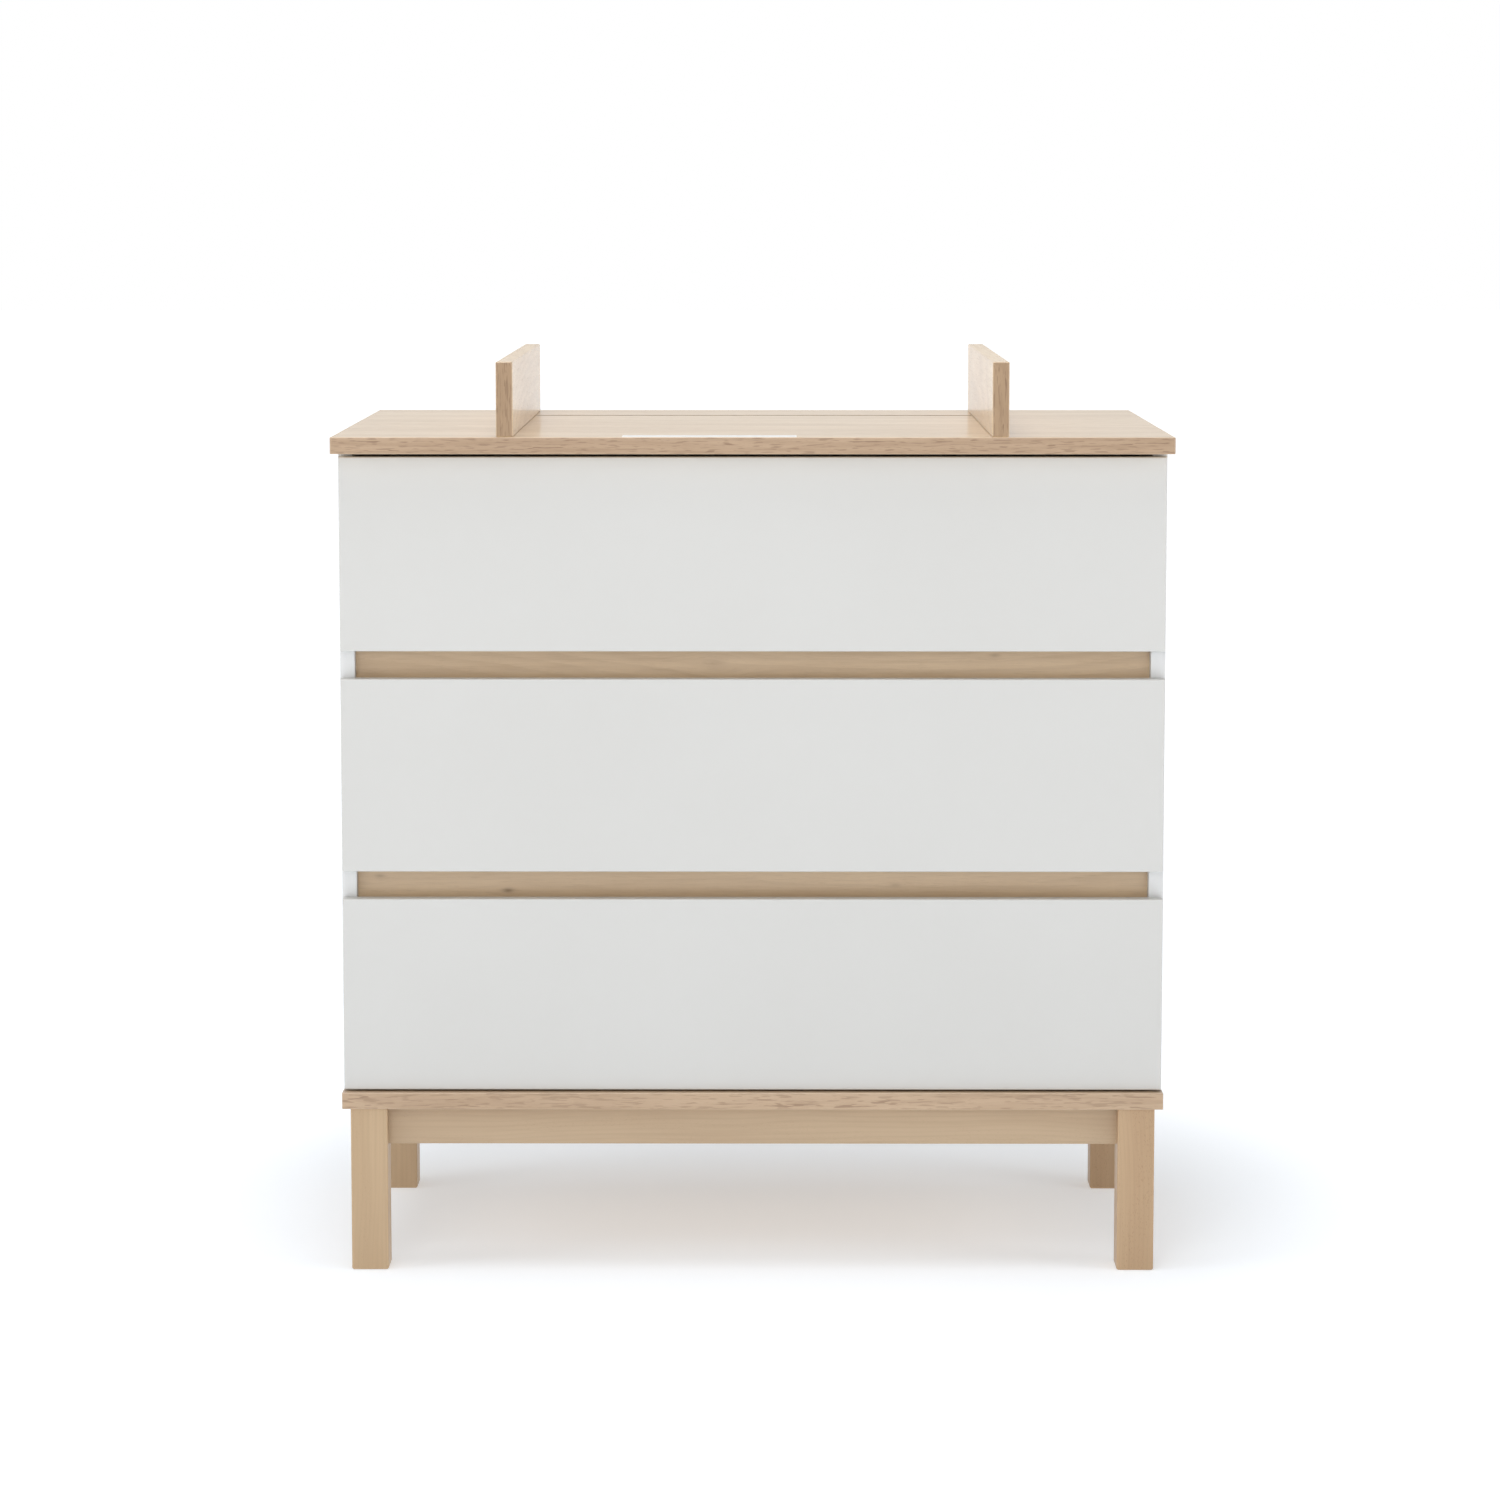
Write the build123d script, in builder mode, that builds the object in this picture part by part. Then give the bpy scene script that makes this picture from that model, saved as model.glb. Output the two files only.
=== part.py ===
from build123d import *
import os

os.makedirs("parts", exist_ok=True)

# Changing table: a chest of three drawers on a leg frame, with a deep top board
# and two upright changer rails. Millimetres, +Z up, origin on the floor at the
# centre of the footprint of the top board. The drawers face -Y.

# ------------------------------------------------------------ driving dimensions
TOP_W, TOP_D, TOP_T = 900.0, 600.0, 18.0      # top board
LEG, LEG_H = 40.0, 178.0                      # square legs
BASE_W, BASE_D = 872.0, 430.0                 # outside of the four legs
BASE_SETBACK = 15.0                           # front of the legs behind the top's front edge
APRON_H, APRON_T, APRON_RECESS = 42.0, 18.0, 16.0
BOTTOM_W, BOTTOM_T, BOTTOM_SETBACK = 890.0, 18.0, 12.0
BODY_W, SIDE_H, SIDE_T = 890.0, 693.0, 16.0   # side panels
BODY_FRONT, BODY_BACK = 40.0, 467.0           # side panel edges behind the top's front edge
BACK_T = 3.0                                  # hardboard back
CROSS_H, CROSS_T, CROSS_RECESS = 60.0, 16.0, 15.0
FRONT_W, FRONT_H, FRONT_T = 886.0, 209.0, 18.0
FRONT_SETBACK, FINGER_GAP, FRONT_LIFT = 20.0, 30.0, 2.0
BOX_H, BOX_D, BOX_T, BOX_LIFT = 150.0, 400.0, 12.0, 24.0
RUNNER_GAP = 13.0                             # side panel to drawer box
RUNNER_L, RUNNER_Z = 400.0, 60.0              # runner length, its height above the box's lower edge
STEEL = 1.2                                   # runner sheet
RAIL_H, RAIL_T, RAIL_L, RAIL_INNER = 80.0, 18.0, 570.0, 510.0
GROOVE_Y, GROOVE_W, GROOVE_DEPTH = 470.0, 10.0, 3.0
LABEL_W, LABEL_D, LABEL_T, LABEL_X = 186.0, 36.0, 0.3, -46.0

# ------------------------------------------------------------ derived levels
Y0 = -TOP_D / 2                               # front edge of the top board
Z_BASE = LEG_H
Z_BODY = Z_BASE + BOTTOM_T
Z_TOP = Z_BODY + SIDE_H
Z_SURF = Z_TOP + TOP_T
SIDE_OUT, SIDE_IN = BODY_W / 2, BODY_W / 2 - SIDE_T
BODY_Y0, BODY_Y1 = Y0 + BODY_FRONT, Y0 + BODY_BACK
FRONT_Y0 = Y0 + FRONT_SETBACK
FRONT_Y1 = FRONT_Y0 + FRONT_T
LEG_Y0 = Y0 + BASE_SETBACK
LEG_Y1 = LEG_Y0 + BASE_D
LEG_X1, LEG_X0 = BASE_W / 2, BASE_W / 2 - LEG
CROSS_Y0 = BODY_Y0 + CROSS_RECESS
CROSS_YC = CROSS_Y0 + CROSS_T / 2
BOX_OUT = SIDE_IN - RUNNER_GAP
BOX_IN = BOX_OUT - BOX_T
BOX_Y0, BOX_Y1 = FRONT_Y1, FRONT_Y1 + BOX_D
RUN_Y0 = BODY_Y0 + 2.0
RUN_YC = RUN_Y0 + RUNNER_L / 2

FRONT_Z = {
    "lower": Z_BODY + FRONT_LIFT,
    "middle": Z_BODY + FRONT_LIFT + FRONT_H + FINGER_GAP,
    "upper": Z_BODY + FRONT_LIFT + 2 * (FRONT_H + FINGER_GAP),
}
CROSS_Z = {
    "lower": FRONT_Z["lower"] + FRONT_H + FINGER_GAP / 2,
    "upper": FRONT_Z["middle"] + FRONT_H + FINGER_GAP / 2,
}
SIDES = (("left", -1), ("right", 1))

# fixing positions
CAM_Y = (-200.0, -45.0, 110.0)                # top joint: cam fittings
CAM_DROP, CAM_R, CAM_DEPTH = 34.0, 7.5, 12.5
CAM_BOLT_R, CAM_BOLT_IN = 3.0, 12.0
SIDE_XC = SIDE_OUT - SIDE_T / 2
TOP_DOWEL_Y = (-120.0, 30.0)
DOWEL_R, DOWEL_L = 4.0, 30.0
BOTTOM_SCREW_Y = (-200.0, -50.0, 85.0)
BOTTOM_SCREW_L, BOTTOM_SCREW_R = 50.0, 3.0
RAIL_XC = RAIL_INNER / 2 + RAIL_T / 2
RAIL_SCREW_Y = (-240.0, -80.0, 80.0, 230.0)
RAIL_SCREW_L, RAIL_SCREW_R = 48.0, 2.0
CROSS_DOWEL_DZ = (-18.0, 18.0)
APRON_DOWEL_Z = (Z_BASE - 32.0, Z_BASE - 10.0)
APRON_SIDE_DOWEL_Z = Z_BASE - 21.0
APRON_FY = LEG_Y0 + APRON_RECESS + APRON_T / 2
APRON_RY = LEG_Y1 - APRON_RECESS - APRON_T / 2
APRON_SX = LEG_X1 - APRON_RECESS - APRON_T / 2
BLOCK_H = 30.0
BASE_SCREW_R, BASE_SCREW_L = 2.5, 42.0
BASE_SCREW_X = 385.0
BASE_SCREW_Y = (LEG_Y0 + 51.0, LEG_Y1 - 51.0)
RUNNER_SCREW_Y = (-230.0, 60.0)
DRAWER_CAM_DZ = (40.0, 120.0)
DRAWER_CAM_SET, DRAWER_CAM_R, DRAWER_CAM_DEPTH = 24.0, 6.0, 9.0
BRACKET_X, BRACKET_W, BRACKET_LEG, BRACKET_T = 200.0, 40.0, 30.0, 2.0
BRACKET_HOLE_R, BRACKET_HOLE_DROP = 2.75, 18.0
BRACKET_SCREW_DX, BRACKET_SCREW_Y = 11.0, TOP_D / 2 - 17.0

# ------------------------------------------------------------ top board
with BuildPart() as top_board:
    with BuildSketch(Plane.XY.offset(Z_TOP)):
        Rectangle(TOP_W, TOP_D)
    extrude(amount=TOP_T)
    # soft arris all round the upper face and down the corners
    fillet(top_board.edges().filter_by(Axis.Z), radius=2.0)
    fillet(top_board.faces().sort_by(Axis.Z)[-1].edges(), radius=1.2)
    fillet(top_board.faces().sort_by(Axis.Z)[0].edges(), radius=0.8)
    # cross groove between the changer rails
    with BuildSketch(Plane.XY.offset(Z_SURF)):
        with Locations((0, Y0 + GROOVE_Y)):
            Rectangle(RAIL_INNER - 1.0, GROOVE_W)
    extrude(amount=-GROOVE_DEPTH, mode=Mode.SUBTRACT)
    # changer rail screws, countersunk in the underside
    with Locations(*[Plane(origin=(s * RAIL_XC, y, Z_TOP), z_dir=(0, 0, -1))
                     for s in (-1, 1) for y in RAIL_SCREW_Y]):
        CounterSinkHole(radius=RAIL_SCREW_R + 0.25, counter_sink_radius=4.3, counter_sink_angle=90)
    # blind holes for cam bolts and dowels
    with Locations(*[Plane(origin=(s * SIDE_XC, y, Z_TOP), z_dir=(0, 0, -1))
                     for s in (-1, 1) for y in CAM_Y]):
        Hole(radius=CAM_BOLT_R + 0.05, depth=CAM_BOLT_IN + 0.5)
    with Locations(*[Plane(origin=(s * SIDE_XC, y, Z_TOP), z_dir=(0, 0, -1))
                     for s in (-1, 1) for y in TOP_DOWEL_Y]):
        Hole(radius=DOWEL_R + 0.05, depth=12.5)
    # pilot holes for the wall bracket screws
    with Locations(*[Plane(origin=(s * BRACKET_X + d * BRACKET_SCREW_DX, BRACKET_SCREW_Y, Z_TOP), z_dir=(0, 0, -1))
                     for s in (-1, 1) for d in (-1, 1)]):
        Hole(radius=1.8, depth=13.0)
top_board.part.label = "top_board"
export_step(top_board.part, "parts/top_board.step")

# ------------------------------------------------------------ changer rails
for side, s in SIDES:
    with BuildPart() as changer_rail:
        with BuildSketch(Plane.XY.offset(Z_SURF)):
            with Locations((s * RAIL_XC, Y0 + 1.0 + RAIL_L / 2)):
                Rectangle(RAIL_T, RAIL_L)
        extrude(amount=RAIL_H)
        fillet(changer_rail.edges().filter_by(Axis.Z), radius=1.5)
        fillet(changer_rail.faces().sort_by(Axis.Z)[-1].edges(), radius=1.5)
        chamfer(changer_rail.faces().sort_by(Axis.Z)[0].edges(), length=0.8)
        with Locations(*[Plane(origin=(s * RAIL_XC, y, Z_SURF), z_dir=(0, 0, -1)) for y in RAIL_SCREW_Y]):
            Hole(radius=RAIL_SCREW_R + 0.05, depth=RAIL_SCREW_L - TOP_T + 1.0)
    changer_rail.part.label = f"changer_rail_{side}"
    export_step(changer_rail.part, f"parts/changer_rail_{side}.step")

# ------------------------------------------------------------ side panels
for side, s in SIDES:
    with BuildPart() as side_panel:
        with BuildSketch(Plane.XY.offset(Z_BODY)):
            with Locations((s * SIDE_XC, (BODY_Y0 + BODY_Y1) / 2)):
                Rectangle(SIDE_T, BODY_Y1 - BODY_Y0)
        extrude(amount=SIDE_H)
        fillet(side_panel.edges().filter_by(Axis.Z).group_by(Axis.Y)[0], radius=0.8)
        # upper edge: cam bolts and dowels
        with Locations(*[(s * SIDE_XC, y, Z_TOP) for y in CAM_Y]):
            Hole(radius=CAM_BOLT_R + 0.2, depth=CAM_DROP)
        with Locations(*[(s * SIDE_XC, y, Z_TOP) for y in TOP_DOWEL_Y]):
            Hole(radius=DOWEL_R + 0.05, depth=18.5)
        # inner face: cam housings, cross rail dowels, runner screws
        with Locations(*[Plane(origin=(s * SIDE_IN, y, Z_TOP - CAM_DROP), z_dir=(-s, 0, 0)) for y in CAM_Y]):
            Hole(radius=CAM_R + 0.1, depth=CAM_DEPTH)
        with Locations(*[Plane(origin=(s * SIDE_IN, CROSS_YC, z + dz), z_dir=(-s, 0, 0))
                         for z in CROSS_Z.values() for dz in CROSS_DOWEL_DZ]):
            Hole(radius=DOWEL_R + 0.05, depth=10.5)
        with Locations(*[Plane(origin=(s * SIDE_IN, y, z + BOX_LIFT + RUNNER_Z), z_dir=(-s, 0, 0))
                         for z in FRONT_Z.values() for y in RUNNER_SCREW_Y]):
            Hole(radius=2.05, depth=11.5)
        # lower edge: bottom screws
        with Locations(*[Plane(origin=(s * SIDE_XC, y, Z_BODY), z_dir=(0, 0, -1)) for y in BOTTOM_SCREW_Y]):
            Hole(radius=BOTTOM_SCREW_R + 0.05, depth=BOTTOM_SCREW_L - BOTTOM_T + 1.0)
    side_panel.part.label = f"side_panel_{side}"
    export_step(side_panel.part, f"parts/side_panel_{side}.step")

# ------------------------------------------------------------ bottom board
with BuildPart() as bottom_board:
    with BuildSketch(Plane.XY.offset(Z_BASE)):
        with Locations((0, (Y0 + BOTTOM_SETBACK + BODY_Y1 + BACK_T) / 2)):
            Rectangle(BOTTOM_W, BODY_Y1 + BACK_T - Y0 - BOTTOM_SETBACK)
    extrude(amount=BOTTOM_T)
    fillet(bottom_board.edges().filter_by(Axis.Z), radius=1.5)
    fillet(bottom_board.faces().sort_by(Axis.Z)[-1].edges(), radius=1.0)
    fillet(bottom_board.faces().sort_by(Axis.Z)[0].edges(), radius=0.8)
    with Locations(*[Plane(origin=(s * SIDE_XC, y, Z_BASE), z_dir=(0, 0, -1))
                     for s in (-1, 1) for y in BOTTOM_SCREW_Y]):
        CounterSinkHole(radius=BOTTOM_SCREW_R + 0.2, counter_sink_radius=5.2, counter_sink_angle=90)
    with Locations(*[Plane(origin=(s * BASE_SCREW_X, y, Z_BASE), z_dir=(0, 0, -1))
                     for s in (-1, 1) for y in BASE_SCREW_Y]):
        Hole(radius=BASE_SCREW_R + 0.05, depth=BASE_SCREW_L - BLOCK_H + 0.5)
bottom_board.part.label = "bottom_board"
export_step(bottom_board.part, "parts/bottom_board.step")

# ------------------------------------------------------------ back panel
with BuildPart() as back_panel:
    with BuildSketch(Plane.XY.offset(Z_BODY + 2.0)):
        with Locations((0, BODY_Y1 + BACK_T / 2)):
            Rectangle(BODY_W - 4.0, BACK_T)
    extrude(amount=SIDE_H - 4.0)
back_panel.part.label = "back_panel"
export_step(back_panel.part, "parts/back_panel.step")

# ------------------------------------------------------------ cross rails behind the finger gaps
for level, z in CROSS_Z.items():
    with BuildPart() as cross_rail:
        with BuildSketch(Plane.XY.offset(z - CROSS_H / 2)):
            with Locations((0, CROSS_YC)):
                Rectangle(2 * SIDE_IN, CROSS_T)
        extrude(amount=CROSS_H)
        with Locations(*[Plane(origin=(s * SIDE_IN, CROSS_YC, z + dz), z_dir=(s, 0, 0))
                         for s in (-1, 1) for dz in CROSS_DOWEL_DZ]):
            Hole(radius=DOWEL_R + 0.05, depth=20.5)
    cross_rail.part.label = f"cross_rail_{level}"
    export_step(cross_rail.part, f"parts/cross_rail_{level}.step")

# ------------------------------------------------------------ legs
for depth, ys in (("front", 1), ("rear", -1)):
    ya = LEG_Y0 if ys > 0 else LEG_Y1              # outer face of this pair of legs
    apron_y = APRON_FY if ys > 0 else APRON_RY
    for side, s in SIDES:
        with BuildPart() as leg:
            with BuildSketch():
                with Locations((s * (LEG_X1 - LEG / 2), ya + ys * LEG / 2)):
                    Rectangle(LEG, LEG)
            extrude(amount=LEG_H)
            fillet(leg.edges().filter_by(Axis.Z), radius=2.0)
            chamfer(leg.faces().sort_by(Axis.Z)[0].edges(), length=1.5)
            with Locations(*[Plane(origin=(s * LEG_X0, apron_y, z), z_dir=(-s, 0, 0)) for z in APRON_DOWEL_Z]):
                Hole(radius=DOWEL_R + 0.05, depth=DOWEL_L / 2 + 0.5)
            with Locations(Plane(origin=(s * APRON_SX, ya + ys * LEG, APRON_SIDE_DOWEL_Z), z_dir=(0, ys, 0))):
                Hole(radius=DOWEL_R + 0.05, depth=DOWEL_L / 2 + 0.5)
        leg.part.label = f"leg_{depth}_{side}"
        export_step(leg.part, f"parts/leg_{depth}_{side}.step")

# ------------------------------------------------------------ aprons of the leg frame
for name, y in (("apron_front", APRON_FY), ("apron_rear", APRON_RY)):
    with BuildPart() as apron:
        with BuildSketch(Plane.XY.offset(Z_BASE - APRON_H)):
            with Locations((0, y)):
                Rectangle(2 * LEG_X0, APRON_T)
        extrude(amount=APRON_H)
        fillet(apron.faces().sort_by(Axis.Z)[0].edges().filter_by(Axis.X), radius=1.0)
        with Locations(*[Plane(origin=(s * LEG_X0, y, z), z_dir=(s, 0, 0))
                         for s in (-1, 1) for z in APRON_DOWEL_Z]):
            Hole(radius=DOWEL_R + 0.05, depth=DOWEL_L / 2 + 0.5)
    apron.part.label = name
    export_step(apron.part, f"parts/{name}.step")

for side, s in SIDES:
    with BuildPart() as apron_side:
        with BuildSketch(Plane.XY.offset(Z_BASE - APRON_H)):
            with Locations((s * APRON_SX, (LEG_Y0 + LEG_Y1) / 2)):
                Rectangle(APRON_T, BASE_D - 2 * LEG)
        extrude(amount=APRON_H)
        fillet(apron_side.faces().sort_by(Axis.Z)[0].edges().filter_by(Axis.Y), radius=1.0)
        with Locations(Plane(origin=(s * APRON_SX, LEG_Y0 + LEG, APRON_SIDE_DOWEL_Z), z_dir=(0, -1, 0)),
                       Plane(origin=(s * APRON_SX, LEG_Y1 - LEG, APRON_SIDE_DOWEL_Z), z_dir=(0, 1, 0))):
            Hole(radius=DOWEL_R + 0.05, depth=DOWEL_L / 2 + 0.5)
    apron_side.part.label = f"apron_{side}"
    export_step(apron_side.part, f"parts/apron_{side}.step")

# ------------------------------------------------------------ corner blocks, each hugging the inner corner of its leg
apron_in_x = APRON_SX - APRON_T / 2
with BuildPart() as corner_blocks:
    for s in (-1, 1):
        for ys, y_leg, y_apron in ((1, LEG_Y0 + LEG, APRON_FY + APRON_T / 2), (-1, LEG_Y1 - LEG, APRON_RY - APRON_T / 2)):
            with BuildSketch(Plane.XY.offset(Z_BASE - BLOCK_H)):
                with BuildLine():
                    Polyline((s * apron_in_x, y_leg), (s * apron_in_x, y_leg + ys * 50.0),
                             (s * (LEG_X0 - 50.0), y_apron), (s * LEG_X0, y_apron),
                             (s * LEG_X0, y_leg), close=True)
                make_face()
            extrude(amount=BLOCK_H)
    with Locations(*[Plane(origin=(s * BASE_SCREW_X, y, Z_BASE - BLOCK_H), z_dir=(0, 0, -1))
                     for s in (-1, 1) for y in BASE_SCREW_Y]):
        CounterSinkHole(radius=BASE_SCREW_R + 0.2, counter_sink_radius=4.9, counter_sink_angle=90)
corner_blocks.part.label = "corner_blocks"
export_step(corner_blocks.part, "parts/corner_blocks.step")

# ------------------------------------------------------------ blank label on the top board
with BuildPart() as blank_label:
    with BuildSketch(Plane.XY.offset(Z_SURF)):
        with Locations((LABEL_X, Y0 + 2.0 + LABEL_D / 2)):
            RectangleRounded(LABEL_W, LABEL_D, 2.0)
    extrude(amount=LABEL_T)
blank_label.part.label = "blank_label"
export_step(blank_label.part, "parts/blank_label.step")

# ------------------------------------------------------------ wall brackets under the rear overhang
with BuildPart() as wall_brackets:
    for s in (-1, 1):
        with BuildSketch(Plane.YZ.offset(s * BRACKET_X - BRACKET_W / 2)):
            with BuildLine():
                Polyline((TOP_D / 2, Z_TOP), (TOP_D / 2, Z_TOP - BRACKET_LEG),
                         (TOP_D / 2 - BRACKET_T, Z_TOP - BRACKET_LEG), (TOP_D / 2 - BRACKET_T, Z_TOP - BRACKET_T),
                         (TOP_D / 2 - BRACKET_LEG, Z_TOP - BRACKET_T), (TOP_D / 2 - BRACKET_LEG, Z_TOP), close=True)
            make_face()
        extrude(amount=BRACKET_W)
    fillet(wall_brackets.edges().filter_by(Axis.X).filter_by(
        lambda e: abs(e.center().Y - TOP_D / 2) < 0.01 and abs(e.center().Z - Z_TOP) < 0.01), radius=1.9)
    with Locations(*[Plane(origin=(s * BRACKET_X, TOP_D / 2, Z_TOP - BRACKET_HOLE_DROP), z_dir=(0, 1, 0)) for s in (-1, 1)]):
        Hole(radius=BRACKET_HOLE_R, depth=BRACKET_T + 1.0)
    with Locations(*[Plane(origin=(s * BRACKET_X + d * BRACKET_SCREW_DX, BRACKET_SCREW_Y, Z_TOP), z_dir=(0, 0, 1))
                     for s in (-1, 1) for d in (-1, 1)]):
        Hole(radius=2.0, depth=BRACKET_T + 1.0)
wall_brackets.part.label = "wall_brackets"
export_step(wall_brackets.part, "parts/wall_brackets.step")

with BuildPart() as bracket_screws:
    for s in (-1, 1):
        for d in (-1, 1):
            # pan head below the flange, shank up into the top board
            with BuildSketch(Plane(origin=(s * BRACKET_X + d * BRACKET_SCREW_DX, BRACKET_SCREW_Y, Z_TOP - BRACKET_T), x_dir=(1, 0, 0), z_dir=(0, -1, 0))):
                with BuildLine():
                    Polyline((0, -1.8), (2.4, -1.8), (3.4, -1.0), (3.4, 0), (1.75, 0), (1.75, 12.5), (0, 14.0), close=True)
                make_face()
            revolve(axis=Axis((s * BRACKET_X + d * BRACKET_SCREW_DX, BRACKET_SCREW_Y, 0), (0, 0, 1)))
bracket_screws.part.label = "bracket_screws"
export_step(bracket_screws.part, "parts/bracket_screws.step")

# ------------------------------------------------------------ changer rail screws, driven up from below
with BuildPart() as changer_rail_screws:
    for s in (-1, 1):
        for y in RAIL_SCREW_Y:
            with BuildSketch(Plane(origin=(s * RAIL_XC, y, Z_TOP), x_dir=(1, 0, 0), z_dir=(0, -1, 0))):
                with BuildLine():
                    Polyline((0, 0.3), (3.9, 0.3), (RAIL_SCREW_R, 0.3 + 3.9 - RAIL_SCREW_R),
                             (RAIL_SCREW_R, RAIL_SCREW_L - 4.0), (0, RAIL_SCREW_L), close=True)
                make_face()
            revolve(axis=Axis((s * RAIL_XC, y, 0), (0, 0, 1)))
changer_rail_screws.part.label = "changer_rail_screws"
export_step(changer_rail_screws.part, "parts/changer_rail_screws.step")

# ------------------------------------------------------------ bottom screws, up through the bottom board into the side panels
with BuildPart() as bottom_screws:
    for s in (-1, 1):
        for y in BOTTOM_SCREW_Y:
            with BuildSketch(Plane(origin=(s * SIDE_XC, y, Z_BASE), x_dir=(1, 0, 0), z_dir=(0, -1, 0))):
                with BuildLine():
                    Polyline((0, 0.3), (4.8, 0.3), (BOTTOM_SCREW_R, 0.3 + 4.8 - BOTTOM_SCREW_R),
                             (BOTTOM_SCREW_R, BOTTOM_SCREW_L - 4.0), (0, BOTTOM_SCREW_L), close=True)
                make_face()
            revolve(axis=Axis((s * SIDE_XC, y, 0), (0, 0, 1)))
bottom_screws.part.label = "bottom_screws"
export_step(bottom_screws.part, "parts/bottom_screws.step")

# ------------------------------------------------------------ base screws, up through the corner blocks
with BuildPart() as base_screws:
    for s in (-1, 1):
        for y in BASE_SCREW_Y:
            with BuildSketch(Plane(origin=(s * BASE_SCREW_X, y, Z_BASE - BLOCK_H), x_dir=(1, 0, 0), z_dir=(0, -1, 0))):
                with BuildLine():
                    Polyline((0, 0.3), (4.5, 0.3), (BASE_SCREW_R, 0.3 + 4.5 - BASE_SCREW_R),
                             (BASE_SCREW_R, BASE_SCREW_L - 3.0), (0, BASE_SCREW_L), close=True)
                make_face()
            revolve(axis=Axis((s * BASE_SCREW_X, y, 0), (0, 0, 1)))
base_screws.part.label = "base_screws"
export_step(base_screws.part, "parts/base_screws.step")

# ------------------------------------------------------------ cam fittings of the top joint
with BuildPart() as cam_locks:
    for s in (-1, 1):
        for y in CAM_Y:
            with BuildSketch(Plane(origin=(s * SIDE_IN, y, Z_TOP - CAM_DROP), x_dir=(0, 1, 0), z_dir=(s, 0, 0))):
                Circle(CAM_R)
            extrude(amount=CAM_DEPTH - 0.3)
    with Locations(*[(s * SIDE_XC, y, Z_TOP - CAM_DROP + CAM_R + 1.0) for s in (-1, 1) for y in CAM_Y]):
        Hole(radius=CAM_BOLT_R + 0.3, depth=CAM_R + 2.0)
cam_locks.part.label = "cam_locks"
export_step(cam_locks.part, "parts/cam_locks.step")

with BuildPart() as cam_bolts:
    for s in (-1, 1):
        for y in CAM_Y:
            with BuildSketch(Plane.XY.offset(Z_TOP - CAM_DROP + 0.5)):
                with Locations((s * SIDE_XC, y)):
                    Circle(CAM_BOLT_R)
            extrude(amount=CAM_DROP - 0.5 + CAM_BOLT_IN)
cam_bolts.part.label = "cam_bolts"
export_step(cam_bolts.part, "parts/cam_bolts.step")

# ------------------------------------------------------------ wood dowels: top joint, cross rails, leg frame
with BuildPart() as wood_dowels:
    for s in (-1, 1):
        with BuildSketch(Plane.XY.offset(Z_TOP - 18.0)):
            with Locations(*[(s * SIDE_XC, y) for y in TOP_DOWEL_Y]):
                Circle(DOWEL_R)
        extrude(amount=DOWEL_L)
        with BuildSketch(Plane(origin=(s * (SIDE_IN + 10.0), 0, 0), x_dir=(0, 1, 0), z_dir=(1, 0, 0))):
            with Locations(*[(CROSS_YC, z + dz) for z in CROSS_Z.values() for dz in CROSS_DOWEL_DZ]):
                Circle(DOWEL_R)
        extrude(amount=-s * DOWEL_L)
        with BuildSketch(Plane(origin=(s * (LEG_X0 + DOWEL_L / 2), 0, 0), x_dir=(0, 1, 0), z_dir=(1, 0, 0))):
            with Locations(*[(y, z) for y in (APRON_FY, APRON_RY) for z in APRON_DOWEL_Z]):
                Circle(DOWEL_R)
        extrude(amount=-s * DOWEL_L)
        for y in (LEG_Y0 + LEG, LEG_Y1 - LEG):
            with BuildSketch(Plane(origin=(s * APRON_SX, y + DOWEL_L / 2, APRON_SIDE_DOWEL_Z), x_dir=(1, 0, 0), z_dir=(0, -1, 0))):
                Circle(DOWEL_R)
            extrude(amount=DOWEL_L)
wood_dowels.part.label = "wood_dowels"
export_step(wood_dowels.part, "parts/wood_dowels.step")

# ------------------------------------------------------------ screws of the cabinet runner members
with BuildPart() as runner_screws:
    for s in (-1, 1):
        for zf in FRONT_Z.values():
            for y in RUNNER_SCREW_Y:
                zr = zf + BOX_LIFT + RUNNER_Z
                with BuildSketch(Plane(origin=(s * SIDE_IN, y, zr), x_dir=(s, 0, 0), z_dir=(0, -1, 0))):
                    with BuildLine():
                        Polyline((-STEEL, 0), (-STEEL, 3.6), (-STEEL - 0.5, 3.6), (-STEEL - 1.2, 2.4), (-STEEL - 1.2, 0), close=True)
                    make_face()
                revolve(axis=Axis((0, y, zr), (1, 0, 0)))
                with BuildSketch(Plane(origin=(s * (SIDE_IN - STEEL), y, zr), x_dir=(0, 1, 0), z_dir=(s, 0, 0))):
                    Circle(2.0)
                extrude(amount=STEEL + 11.0)
runner_screws.part.label = "runner_screws"
export_step(runner_screws.part, "parts/runner_screws.step")

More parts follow.
